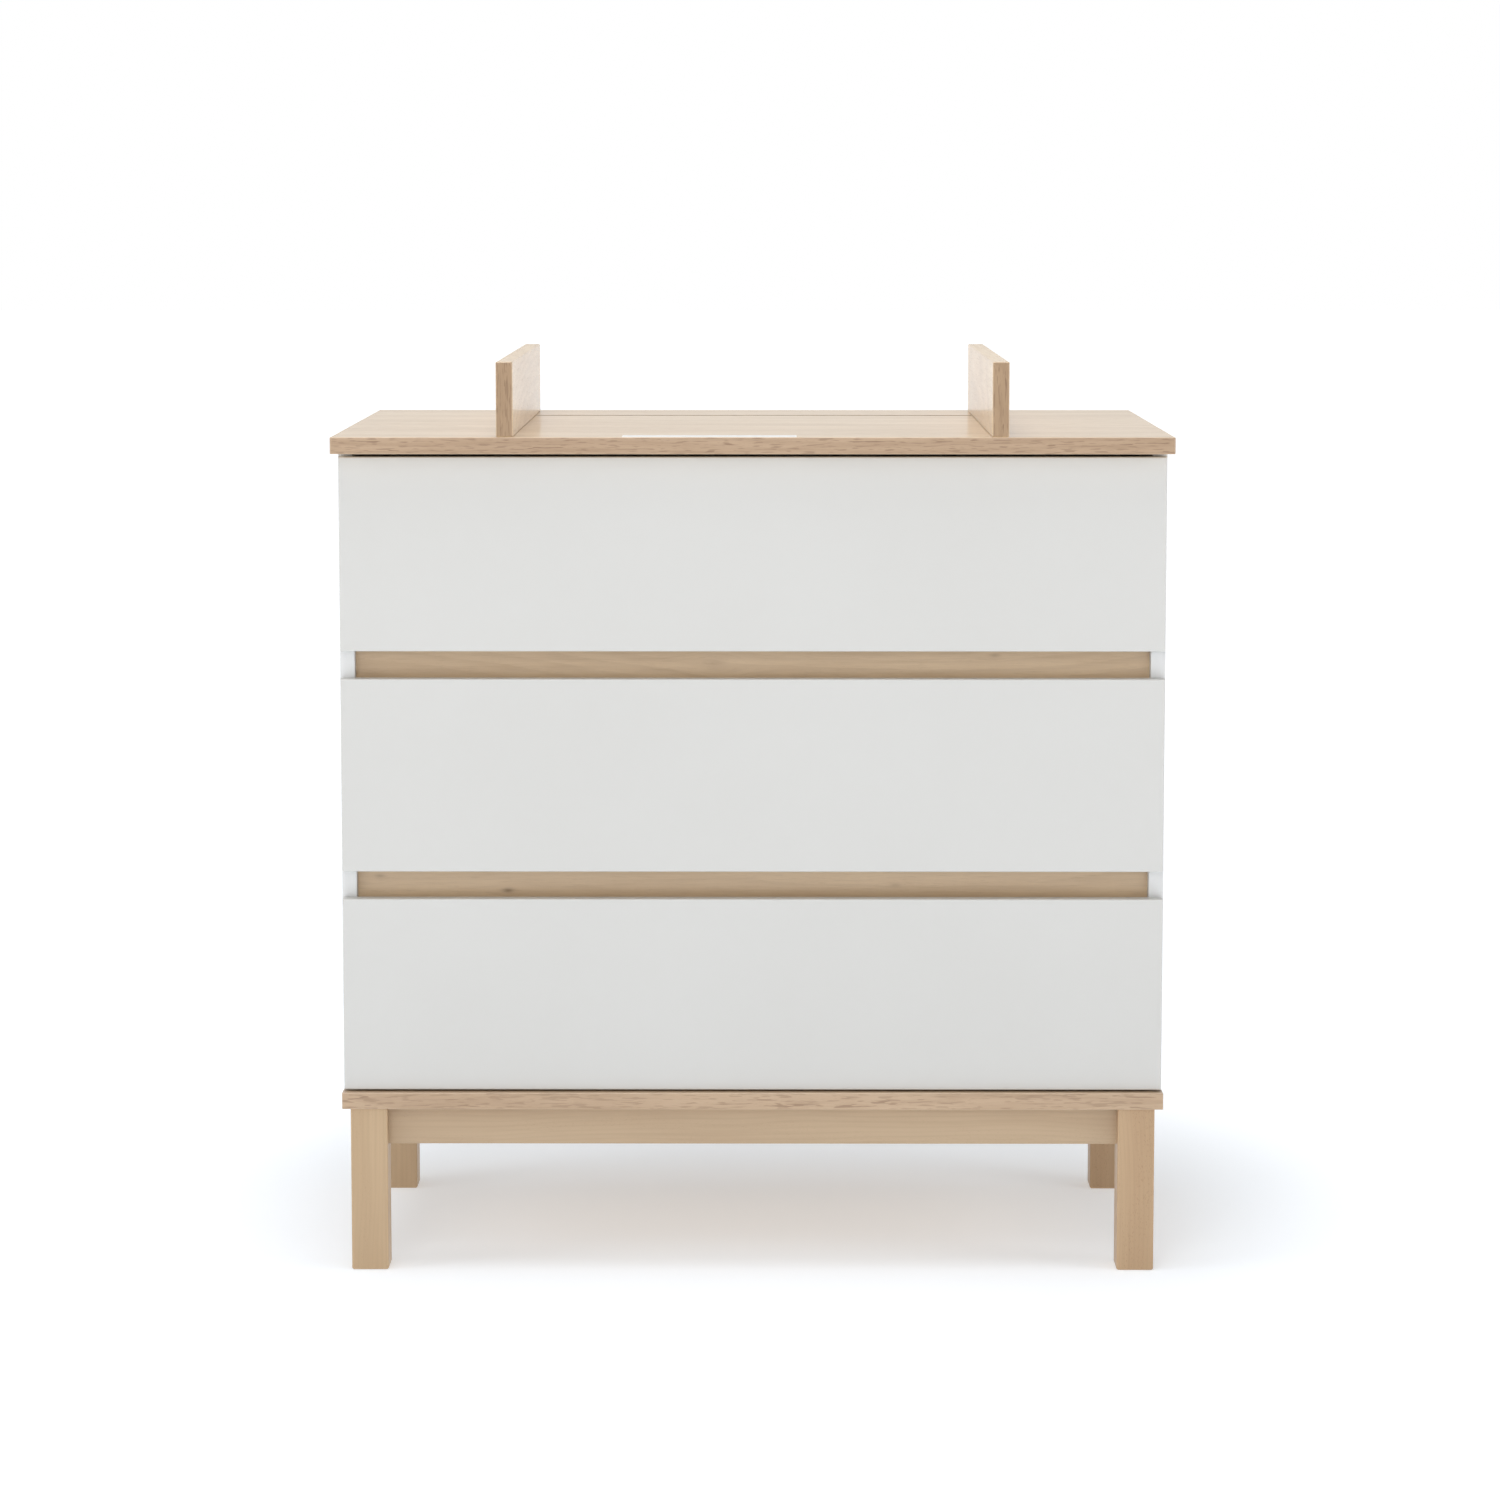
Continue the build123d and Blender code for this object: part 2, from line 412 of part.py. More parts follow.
# ------------------------------------------------------------ drawers with their telescopic runners
for level, zf in FRONT_Z.items():
    zb = zf + BOX_LIFT                            # lower edge of the drawer box
    zr = zb + RUNNER_Z                            # centre line of the runners

    with BuildPart() as drawer_front:
        with BuildSketch(Plane.XY.offset(zf)):
            with Locations((0, (FRONT_Y0 + FRONT_Y1) / 2)):
                Rectangle(FRONT_W, FRONT_T)
        extrude(amount=FRONT_H)
        fillet(drawer_front.faces().sort_by(Axis.Y)[0].edges(), radius=1.5)
        fillet(drawer_front.faces().sort_by(Axis.Y)[-1].edges(), radius=0.8)
        # groove that holds the front edge of the bottom
        with BuildSketch(Plane(origin=(0, FRONT_Y1, zb + 11.6), x_dir=(1, 0, 0), z_dir=(0, 1, 0))):
            Rectangle(2 * (BOX_IN + 6.0), 3.2)
        extrude(amount=-6.0, mode=Mode.SUBTRACT)
        with Locations(*[Plane(origin=(s * (BOX_IN + BOX_T / 2), FRONT_Y1, zb + dz), z_dir=(0, 1, 0))
                         for s in (-1, 1) for dz in DRAWER_CAM_DZ]):
            Hole(radius=2.55, depth=10.5)
    drawer_front.part.label = f"{level}_drawer_front"
    export_step(drawer_front.part, f"parts/{level}_drawer_front.step")

    for side, s in SIDES:
        with BuildPart() as drawer_side:
            with BuildSketch(Plane.XY.offset(zb)):
                with Locations((s * (BOX_IN + BOX_T / 2), (BOX_Y0 + BOX_Y1) / 2)):
                    Rectangle(BOX_T, BOX_D)
            extrude(amount=BOX_H)
            fillet(drawer_side.faces().sort_by(Axis.Z)[-1].edges().filter_by(Axis.Y), radius=2.0)
            with BuildSketch(Plane(origin=(s * BOX_IN, 0, zb + 11.6), x_dir=(0, 1, 0), z_dir=(s, 0, 0))):
                with Locations(((BOX_Y0 + BOX_Y1) / 2, 0)):
                    Rectangle(BOX_D + 2.0, 3.2)
            extrude(amount=6.0, mode=Mode.SUBTRACT)
            with Locations(*[Plane(origin=(s * (BOX_IN + BOX_T / 2), BOX_Y0, zb + dz), z_dir=(0, -1, 0))
                             for dz in DRAWER_CAM_DZ]):
                Hole(radius=2.8, depth=DRAWER_CAM_SET)
            with Locations(*[Plane(origin=(s * BOX_IN, BOX_Y0 + DRAWER_CAM_SET, zb + dz), z_dir=(-s, 0, 0))
                             for dz in DRAWER_CAM_DZ]):
                Hole(radius=DRAWER_CAM_R + 0.1, depth=DRAWER_CAM_DEPTH)
        drawer_side.part.label = f"{level}_drawer_side_{side}"
        export_step(drawer_side.part, f"parts/{level}_drawer_side_{side}.step")

    with BuildPart() as drawer_back:
        with BuildSketch(Plane.XY.offset(zb + 13.0)):
            with Locations((0, BOX_Y1 - BOX_T / 2)):
                Rectangle(2 * BOX_IN, BOX_T)
        extrude(amount=BOX_H - 13.0)
        fillet(drawer_back.faces().sort_by(Axis.Z)[-1].edges().filter_by(Axis.X), radius=2.0)
    drawer_back.part.label = f"{level}_drawer_back"
    export_step(drawer_back.part, f"parts/{level}_drawer_back.step")

    with BuildPart() as drawer_bottom:
        with BuildSketch(Plane.XY.offset(zb + 10.0)):
            with Locations((0, (FRONT_Y1 - 5.8 + BOX_Y1) / 2)):
                Rectangle(2 * (BOX_IN + 5.8), BOX_Y1 - FRONT_Y1 + 5.8)
        extrude(amount=3.0)
    drawer_bottom.part.label = f"{level}_drawer_bottom"
    export_step(drawer_bottom.part, f"parts/{level}_drawer_bottom.step")

    with BuildPart() as drawer_cams:
        for s in (-1, 1):
            for dz in DRAWER_CAM_DZ:
                with BuildSketch(Plane(origin=(s * BOX_IN, BOX_Y0 + DRAWER_CAM_SET, zb + dz), x_dir=(0, 1, 0), z_dir=(s, 0, 0))):
                    Circle(DRAWER_CAM_R)
                extrude(amount=DRAWER_CAM_DEPTH - 0.3)
        with Locations(*[Plane(origin=(s * (BOX_IN + BOX_T / 2), BOX_Y0 + DRAWER_CAM_SET - DRAWER_CAM_R - 1.0, zb + dz), z_dir=(0, -1, 0))
                         for s in (-1, 1) for dz in DRAWER_CAM_DZ]):
            Hole(radius=2.8, depth=DRAWER_CAM_R + 2.0)
    drawer_cams.part.label = f"{level}_drawer_cams"
    export_step(drawer_cams.part, f"parts/{level}_drawer_cams.step")

    with BuildPart() as drawer_cam_bolts:
        with BuildSketch(Plane(origin=(0, FRONT_Y1 - 10.0, 0), x_dir=(1, 0, 0), z_dir=(0, -1, 0))):
            with Locations(*[(s * (BOX_IN + BOX_T / 2), zb + dz) for s in (-1, 1) for dz in DRAWER_CAM_DZ]):
                Circle(2.5)
        extrude(amount=-(10.0 + DRAWER_CAM_SET - 0.5))
    drawer_cam_bolts.part.label = f"{level}_drawer_cam_bolts"
    export_step(drawer_cam_bolts.part, f"parts/{level}_drawer_cam_bolts.step")

    # runner members are C sections of folded steel, nested without touching
    #   (web from, web to, flange tip) measured from the side panel, half height
    for name, web0, web1, tip, half in (("cabinet_runners", 0.0, STEEL, RUNNER_GAP - 1.5, 22.5),
                                        ("middle_runners", 2.8, 2.8 + STEEL, RUNNER_GAP - 1.8, 19.0),
                                        ("drawer_runners", RUNNER_GAP - STEEL, RUNNER_GAP, 6.0, 15.0)):
        near, far = (web0, tip) if name != "drawer_runners" else (web1, tip)
        with BuildPart() as runners:
            for s in (-1, 1):
                with BuildSketch(Plane(origin=(0, RUN_Y0, 0), x_dir=(1, 0, 0), z_dir=(0, -1, 0))):
                    with BuildLine():
                        inner = web1 if name != "drawer_runners" else web0
                        Polyline((s * (SIDE_IN - near), zr - half), (s * (SIDE_IN - far), zr - half),
                                 (s * (SIDE_IN - far), zr - half + STEEL), (s * (SIDE_IN - inner), zr - half + STEEL),
                                 (s * (SIDE_IN - inner), zr + half - STEEL), (s * (SIDE_IN - far), zr + half - STEEL),
                                 (s * (SIDE_IN - far), zr + half), (s * (SIDE_IN - near), zr + half), close=True)
                    make_face()
                extrude(amount=-RUNNER_L)
            if name == "cabinet_runners":
                with Locations(*[Plane(origin=(s * (SIDE_IN - STEEL), y, zr), z_dir=(-s, 0, 0))
                                 for s in (-1, 1) for y in RUNNER_SCREW_Y]):
                    Hole(radius=2.1, depth=STEEL + 0.5)
        runners.part.label = f"{level}_{name}"
        export_step(runners.part, f"parts/{level}_{name}.step")
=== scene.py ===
import bpy
import math
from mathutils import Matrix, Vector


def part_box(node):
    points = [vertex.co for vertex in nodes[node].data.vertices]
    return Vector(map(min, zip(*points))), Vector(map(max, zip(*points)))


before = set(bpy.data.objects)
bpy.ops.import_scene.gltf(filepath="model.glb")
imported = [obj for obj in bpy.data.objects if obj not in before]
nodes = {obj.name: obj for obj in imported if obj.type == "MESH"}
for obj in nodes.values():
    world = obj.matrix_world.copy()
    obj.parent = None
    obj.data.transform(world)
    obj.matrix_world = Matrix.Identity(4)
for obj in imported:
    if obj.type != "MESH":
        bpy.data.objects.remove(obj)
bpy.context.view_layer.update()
AXES = "XYZ"


# ------------------------------------------------------------ shader helper
class Shader:
    """One procedural material: a Principled shader and short calls that add nodes to it."""

    def __init__(self, name, **fixed):
        self.mat = bpy.data.materials.new(name)
        self.mat.use_nodes = True
        self.tree = self.mat.node_tree
        self.tree.nodes.clear()
        out = self.add("ShaderNodeOutputMaterial")
        self.bsdf = self.add("ShaderNodeBsdfPrincipled")
        self.tree.links.new(self.bsdf.outputs[0], out.inputs[0])
        for key, value in fixed.items():
            self.bsdf.inputs[key.replace("_", " ")].default_value = value
        coords = self.add("ShaderNodeTexCoord")
        self.point = coords.outputs["Object"]
        self.p = self.split(self.point)
        self.n = [self.math("ABSOLUTE", c) for c in self.split(coords.outputs["Normal"])]

    def add(self, kind, **props):
        node = self.tree.nodes.new(kind)
        for key, value in props.items():
            setattr(node, key, value)
        return node

    def put(self, socket, value):
        if isinstance(value, bpy.types.NodeSocket):
            self.tree.links.new(value, socket)
        else:
            socket.default_value = value

    def split(self, vector):
        node = self.add("ShaderNodeSeparateXYZ")
        self.put(node.inputs[0], vector)
        return list(node.outputs)

    def vec(self, x, y, z):
        node = self.add("ShaderNodeCombineXYZ")
        for socket, value in zip(node.inputs, (x, y, z)):
            self.put(socket, value)
        return node.outputs[0]

    def math(self, op, a, b=0.0, c=0.0, clamp=False):
        node = self.add("ShaderNodeMath", operation=op, use_clamp=clamp)
        for socket, value in zip(node.inputs, (a, b, c)):
            self.put(socket, value)
        return node.outputs[0]

    def times(self, a, b):
        return self.math("MULTIPLY", a, b)

    def plus(self, a, b):
        return self.math("ADD", a, b)

    def ramp(self, value, lo, hi, to_lo=0.0, to_hi=1.0, kind="SMOOTHSTEP"):
        node = self.add("ShaderNodeMapRange", interpolation_type=kind, clamp=True)
        for socket, v in zip(node.inputs, (value, lo, hi, to_lo, to_hi)):
            self.put(socket, v)
        return node.outputs[0]

    def mixf(self, fac, a, b):
        node = self.add("ShaderNodeMix", data_type="FLOAT", clamp_factor=True)
        self.put(node.inputs[0], fac)
        self.put(node.inputs[2], a)
        self.put(node.inputs[3], b)
        return node.outputs[0]

    def mixc(self, fac, a, b, blend="MIX"):
        node = self.add("ShaderNodeMix", data_type="RGBA", blend_type=blend, clamp_factor=True)
        self.put(node.inputs[0], fac)
        for socket, value in ((node.inputs[6], a), (node.inputs[7], b)):
            self.put(socket, value if isinstance(value, bpy.types.NodeSocket) else (*value, 1.0))
        return node.outputs[2]

    def noise(self, vector, scale=1.0, detail=2.0, rough=0.5, distortion=0.0):
        node = self.add("ShaderNodeTexNoise", noise_dimensions="3D")
        self.put(node.inputs["Vector"], vector)
        for key, value in (("Scale", scale), ("Detail", detail), ("Roughness", rough), ("Distortion", distortion)):
            node.inputs[key].default_value = value
        return node.outputs[0]

    def voronoi(self, vector, scale=1.0, randomness=1.0):
        node = self.add("ShaderNodeTexVoronoi", voronoi_dimensions="3D", feature="F1")
        self.put(node.inputs["Vector"], vector)
        node.inputs["Scale"].default_value = scale
        node.inputs["Randomness"].default_value = randomness
        return node.outputs["Distance"]

    def arris(self, start=0.996, full=0.93):
        """1 on rounded edges, 0 on flat faces, from how far the surface turns away from the three axes."""
        top = self.math("MAXIMUM", self.math("MAXIMUM", self.n[0], self.n[1]), self.n[2])
        return self.ramp(top, start, full)

    def finish(self, colour, rough, height, distance, strength):
        self.put(self.bsdf.inputs["Base Color"], colour)
        self.put(self.bsdf.inputs["Roughness"], rough)
        bump = self.add("ShaderNodeBump")
        bump.inputs["Strength"].default_value = strength
        bump.inputs["Distance"].default_value = distance
        self.put(bump.inputs["Height"], height)
        self.put(self.bsdf.inputs["Normal"], bump.outputs[0])
        return self.mat


def grain_coordinates(s, along, ends, bends=None):
    """(u along the grain, v and w across it) in metres. Faces square to the grain are edge
    banded, with the grain of the band along the axis `ends`."""
    a, b = AXES.index(along), AXES.index(ends)
    c = 3 - a - b
    p = list(s.p)
    if bends:
        p = bends(p)
    end = s.math("GREATER_THAN", s.n[a], 0.72)
    return s.mixf(end, p[a], p[b]), s.mixf(end, p[b], p[c]), s.mixf(end, p[c], p[a])


def stretched(s, u, v, w, ku, kv, shift=(0.0, 0.0, 0.0)):
    """The grain coordinates scaled to ku cycles a metre along and kv across."""
    return s.vec(s.math("MULTIPLY_ADD", u, ku, shift[0]),
                 s.math("MULTIPLY_ADD", v, kv, shift[1]),
                 s.math("MULTIPLY_ADD", w, kv, shift[2]))


# ------------------------------------------------------------ oak decor
def oak(name, along, ends, tone=(1.0, 1.0, 1.0), pores=1.0, rings=1.0, seed=0.0, knots=(), calm=0.0, face=None,
        band=(0.86, 0.82, 0.77), groove=None):
    s = Shader(name, IOR=1.5, Specular_IOR_Level=0.5, Coat_Weight=0.40, Coat_Roughness=0.12)
    knot_dark = None
    bends = None
    if knots:
        def bends(p):
            nonlocal knot_dark
            push = None
            for x0, z0, rx, rz, dark in knots:
                dx = s.times(s.plus(p[0], -x0), 1.0 / rx)
                dz = s.times(s.plus(p[2], -z0), 1.0 / rz)
                q = s.plus(s.times(dx, dx), s.times(dz, dz))
                near = s.math("POWER", 2.718, s.times(q, -0.55))
                core = s.math("POWER", 2.718, s.times(q, -5.5))
                here = s.times(s.times(dz, near), rz * 0.75)
                push = here if push is None else s.plus(push, here)
                spot = s.times(core, dark)
                knot_dark = spot if knot_dark is None else s.math("MAXIMUM", knot_dark, spot)
            return [p[0], p[1], s.math("SUBTRACT", p[2], push)]
    u, v, w = grain_coordinates(s, along, ends, bends)

    # 1 on the edge bands, 0 on the broad faces
    banded = 0.0
    if face:
        broad_face = s.n[AXES.index(face[0])]
        for other in face[1:]:
            broad_face = s.math("MAXIMUM", broad_face, s.n[AXES.index(other)])
        banded = s.ramp(broad_face, 0.80, 0.60)

    # growth rings of a trunk that runs a little out of line with the board
    wander = s.noise(stretched(s, u, v, w, 1.3, 5.0, (seed, 3.1, 7.7)), detail=2.0, rough=0.45)
    drift = s.noise(stretched(s, u, v, w, 0.75, 2.2, (seed + 11.0, 1.7, 4.9)), detail=1.0)
    fine = s.noise(stretched(s, u, v, w, 9.0, 95.0, (seed + 5.0, 0.3, 8.1)), detail=2.0)
    across = s.math("PINGPONG", s.plus(s.math("MULTIPLY_ADD", wander, 0.050, 0.37), v), 0.165)
    deep = s.math("PINGPONG", s.plus(w, 0.033), 0.11)
    deep = s.plus(s.math("MULTIPLY_ADD", drift, 0.30, -0.07), deep)
    radius = s.math("SQRT", s.plus(s.times(across, across), s.times(deep, deep)))
    radius = s.math("MULTIPLY_ADD", fine, 0.0034, radius)
    ring = s.math("FRACT", s.times(radius, 1.0 / 0.0085))
    late = s.times(s.ramp(ring, 0.25, 0.93), s.ramp(ring, 1.0, 0.95))       # soft rise, quick fall
    early = s.ramp(ring, 0.30, 0.02)

    broad = s.noise(stretched(s, u, v, w, 2.2, 17.0, (seed + 2.0, 9.0, 6.0)), detail=3.0, rough=0.55)
    streak = s.noise(stretched(s, u, v, w, 11.0, 210.0, (seed, 5.0, 2.0)), detail=3.0, rough=0.6)
    hair = s.noise(stretched(s, u, v, w, 42.0, 900.0, (seed + 7.0, 2.0, 5.0)), detail=2.0, rough=0.6)
    dash = s.noise(stretched(s, u, v, w, 58.0, 620.0, (seed + 1.0, 6.0, 3.0)), detail=1.0, rough=0.4)
    pin = s.noise(stretched(s, u, v, w, 150.0, 1900.0, (seed + 3.0, 4.0, 1.0)), detail=1.0)
    dashes = s.times(s.ramp(dash, s.math("MULTIPLY_ADD", banded, -0.045, 0.60 + 0.03 * calm),
                            s.math("MULTIPLY_ADD", banded, -0.060, 0.70 + 0.03 * calm)),
                     s.math("MULTIPLY_ADD", early, 0.45, s.math("MULTIPLY_ADD", banded, 0.20, 0.45)))
    pins = s.times(s.ramp(pin, 0.60, 0.74), s.math("MULTIPLY_ADD", early, 0.5, 0.5))

    t = tone
    light = (0.600 * t[0], 0.447 * t[1], 0.316 * t[2])
    mid = (0.520 * t[0], 0.374 * t[1], 0.254 * t[2])
    dark = (0.415 * t[0], 0.283 * t[1], 0.182 * t[2])
    deep_pore = (0.300 * t[0], 0.190 * t[1], 0.116 * t[2])
    colour = s.mixc(s.ramp(broad, 0.28, 0.72), light, mid)
    colour = s.mixc(s.times(late, 0.27 * rings), colour, dark)
    colour = s.mixc(s.times(s.ramp(streak, 0.48, 0.78), s.math("MULTIPLY_ADD", banded, 0.25, 0.32)), colour, dark)
    colour = s.mixc(s.times(s.ramp(streak, 0.50, 0.24), 0.30), colour, (0.655 * t[0], 0.500 * t[1], 0.366 * t[2]))
    colour = s.mixc(s.times(s.ramp(hair, 0.52, 0.80), 0.35), colour, dark)
    colour = s.mixc(s.times(dashes, s.math("MULTIPLY_ADD", banded, 0.30, 0.50 * pores)), colour, deep_pore)
    colour = s.mixc(s.times(pins, 0.45 * pores), colour, deep_pore)
    if knot_dark is not None:
        colour = s.mixc(s.times(knot_dark, s.ramp(hair, 0.25, 0.75, 0.65, 1.0)), colour, (0.250, 0.135, 0.070))
    # the edge-banded faces are painted a shade darker than the broad faces: painted shade, standing in for the broad
    # top and side faces catching more of the light
    if face:
        colour = s.mixc(banded, colour, band, blend="MULTIPLY")
    # and the arrises are painted paler: a painted highlight where the rounded edges catch the light
    colour = s.mixc(s.times(s.arris(), 0.30), colour, (0.700, 0.560, 0.430))

    # a milled groove: its inside is painted near-black, painted shade standing in for the shadow inside the groove
    if groove:
        y0, y1, top = groove
        cut = s.times(s.math("GREATER_THAN", s.p[1], y0), s.math("LESS_THAN", s.p[1], y1))
        cut = s.times(cut, s.times(s.math("LESS_THAN", s.p[2], top - 0.0004), s.math("GREATER_THAN", s.p[2], top - 0.0035)))
        core = s.mixc(s.ramp(s.noise(s.point, scale=900.0, detail=3.0), 0.35, 0.65), (0.100, 0.062, 0.034), (0.160, 0.102, 0.058))
        colour = s.mixc(cut, colour, core)

    rough = s.math("MULTIPLY_ADD", broad, 0.08, 0.26)
    rough = s.plus(rough, s.times(dashes, 0.16))
    rough = s.math("MULTIPLY_ADD", streak, 0.06, rough)
    height = s.plus(s.times(dashes, -1.0), s.times(pins, -0.45))
    height = s.math("MULTIPLY_ADD", hair, 0.30, height)
    height = s.math("MULTIPLY_ADD", late, 0.12, height)
    return s.finish(colour, rough, height, 0.00012, 0.30)


# ------------------------------------------------------------ solid beech
def beech(name, along, ends, light, dark, flecks=1.0, seed=0.0):
    s = Shader(name, IOR=1.5, Specular_IOR_Level=0.5, Coat_Weight=0.12, Coat_Roughness=0.30)
    u, v, w = grain_coordinates(s, along, ends)
    wander = s.noise(stretched(s, u, v, w, 2.5, 9.0, (seed, 4.0, 1.0)), detail=2.0)
    broad = s.noise(stretched(s, u, v, w, 3.0, 26.0, (seed + 3.0, 8.0, 5.0)), detail=3.0, rough=0.5)
    lines = s.noise(stretched(s, u, v, w, 5.0, 260.0, (seed + 6.0, 2.0, 9.0)), detail=3.0, rough=0.55)
    fibre = s.noise(stretched(s, u, v, w, 70.0, 1500.0, (seed + 9.0, 7.0, 4.0)), detail=2.0)
    ring = s.math("FRACT", s.times(s.plus(s.plus(v, s.times(w, 0.55)), s.times(wander, 0.045)), 1.0 / 0.0052))
    late = s.times(s.ramp(ring, 0.45, 0.95), s.ramp(ring, 1.0, 0.96))
    # ray flecks: short spindles along the grain
    cell = s.voronoi(stretched(s, u, v, w, 210.0, 780.0, (seed, seed, 0.0)), randomness=1.0)
    where = s.noise(stretched(s, u, v, w, 9.0, 60.0, (seed + 2.0, 1.0, 3.0)), detail=1.0)
    fleck = s.times(s.ramp(cell, 0.30, 0.16), s.ramp(where, 0.40, 0.62))

    colour = s.mixc(s.ramp(broad, 0.30, 0.72), light, dark)
    colour = s.mixc(s.times(s.ramp(lines, 0.45, 0.80), 0.30), colour, tuple(c * 0.86 for c in dark))
    colour = s.mixc(s.times(s.ramp(lines, 0.48, 0.20), 0.28), colour, tuple(min(1.0, c * 1.09) for c in light))
    colour = s.mixc(s.times(late, 0.16), colour, tuple(c * 0.80 for c in dark))
    colour = s.mixc(s.times(fleck, 0.42 * flecks), colour, (dark[0] * 0.62, dark[1] * 0.52, dark[2] * 0.44))
    colour = s.mixc(s.times(s.ramp(fibre, 0.55, 0.85), 0.16), colour, tuple(c * 0.78 for c in dark))
    # painted highlight: the arrises are painted paler where the rounded edges catch the light
    colour = s.mixc(s.times(s.arris(), 0.28), colour, tuple(min(1.0, c * 1.16) for c in light))

    rough = s.math("MULTIPLY_ADD", broad, 0.10, 0.36)
    rough = s.math("MULTIPLY_ADD", fibre, 0.08, rough)
    height = s.plus(s.times(fibre, 0.5), s.times(fleck, -0.6))
    height = s.math("MULTIPLY_ADD", lines, 0.5, height)
    return s.finish(colour, rough, height, 0.00010, 0.40)


# ------------------------------------------------------------ whites
def lacquer(name, colour, warm):
    """Satin lacquered MDF: a very fine orange peel, slightly uneven gloss, and a barely uneven tone."""
    s = Shader(name, IOR=1.5, Specular_IOR_Level=0.5, Coat_Weight=0.25, Coat_Roughness=0.22)
    cloud = s.noise(s.point, scale=3.2, detail=2.0, rough=0.5)
    peel = s.noise(s.point, scale=420.0, detail=2.0, rough=0.45)
    grit = s.noise(s.point, scale=1900.0, detail=1.0)
    tone = s.mixc(s.ramp(cloud, 0.30, 0.70), colour, warm)
    tone = s.mixc(s.times(s.ramp(grit, 0.62, 0.80), 0.05), tone, (0.60, 0.59, 0.57))
    # painted highlight: the arrises are painted a little paler where the rounded edges catch the light
    tone = s.mixc(s.times(s.arris(), 0.25), tone, tuple(min(1.0, c * 1.07) for c in colour))
    rough = s.math("MULTIPLY_ADD", cloud, 0.08, 0.34)
    rough = s.math("MULTIPLY_ADD", peel, 0.06, rough)
    return s.finish(tone, rough, s.math("MULTIPLY_ADD", grit, 0.15, peel), 0.00007, 0.22)


def melamine(name, colour):
    """Melamine faced board: a fine pearl grain pressed into the face, and slightly duller banded edges."""
    s = Shader(name, IOR=1.5, Specular_IOR_Level=0.45)
    cloud = s.noise(s.point, scale=5.0, detail=2.0)
    pearl = s.voronoi(s.point, scale=900.0, randomness=0.9)
    grit = s.noise(s.point, scale=700.0, detail=2.0)
    tone = s.mixc(s.ramp(cloud, 0.3, 0.7), colour, tuple(c * 0.975 for c in colour))
    tone = s.mixc(s.times(s.ramp(pearl, 0.25, 0.65), 0.06), tone, tuple(c * 0.88 for c in colour))
    tone = s.mixc(s.times(s.arris(), 0.30), tone, tuple(c * 0.93 for c in colour))
    rough = s.math("MULTIPLY_ADD", grit, 0.12, 0.42)
    height = s.math("MULTIPLY_ADD", grit, 0.5, s.ramp(pearl, 0.1, 0.6))
    return s.finish(tone, rough, height, 0.00008, 0.30)


def hardboard(name, colour):
    """White coated hardboard: matt, with the pressed fibre showing faintly through the coat."""
    s = Shader(name, IOR=1.48, Specular_IOR_Level=0.35)
    cloud = s.noise(s.point, scale=4.0, detail=3.0)
    fibre = s.noise(s.point, scale=330.0, detail=4.0, rough=0.65, distortion=1.2)
    speck = s.noise(s.point, scale=1300.0, detail=1.0)
    tone = s.mixc(s.ramp(cloud, 0.3, 0.7), colour, tuple(c * 0.96 for c in colour))
    tone = s.mixc(s.times(s.ramp(fibre, 0.50, 0.78), 0.16), tone, (colour[0] * 0.86, colour[1] * 0.82, colour[2] * 0.76))
    tone = s.mixc(s.times(s.ramp(speck, 0.66, 0.80), 0.20), tone, (0.45, 0.38, 0.30))
    rough = s.math("MULTIPLY_ADD", fibre, 0.18, 0.50)
    return s.finish(tone, rough, fibre, 0.00012, 0.35)


def zinc(name):
    """Bright zinc plated steel: drawn along its length, with a faint spangle and duller marks."""
    s = Shader(name, Metallic=1.0)
    spangle = s.voronoi(s.point, scale=160.0, randomness=1.0)
    cloud = s.noise(s.point, scale=40.0, detail=3.0)
    drawn = s.noise(s.vec(s.times(s.p[0], 1500.0), s.times(s.p[1], 35.0), s.times(s.p[2], 1500.0)), detail=2.0)
    tone = s.mixc(s.ramp(spangle, 0.1, 0.8), (0.62, 0.64, 0.67), (0.52, 0.54, 0.57))
    tone = s.mixc(s.times(s.ramp(cloud, 0.50, 0.80), 0.5), tone, (0.45, 0.45, 0.44))
    tone = s.mixc(s.times(s.ramp(drawn, 0.50, 0.80), 0.3), tone, (0.72, 0.73, 0.75))
    rough = s.math("MULTIPLY_ADD", cloud, 0.18, 0.24)
    rough = s.math("MULTIPLY_ADD", drawn, 0.12, rough)
    return s.finish(tone, rough, drawn, 0.00003, 0.30)


def label(name):
    """Blank white film with a little tooth."""
    s = Shader(name, IOR=1.45, Specular_IOR_Level=0.4)
    tooth = s.noise(s.point, scale=900.0, detail=2.0)
    cloud = s.noise(s.point, scale=30.0, detail=2.0)
    tone = s.mixc(s.ramp(cloud, 0.3, 0.7), (0.94, 0.94, 0.935), (0.91, 0.91, 0.905))
    tone = s.mixc(s.times(s.ramp(tooth, 0.6, 0.8), 0.08), tone, (0.80, 0.80, 0.79))
    return s.finish(tone, s.math("MULTIPLY_ADD", tooth, 0.12, 0.42), tooth, 0.00004, 0.25)


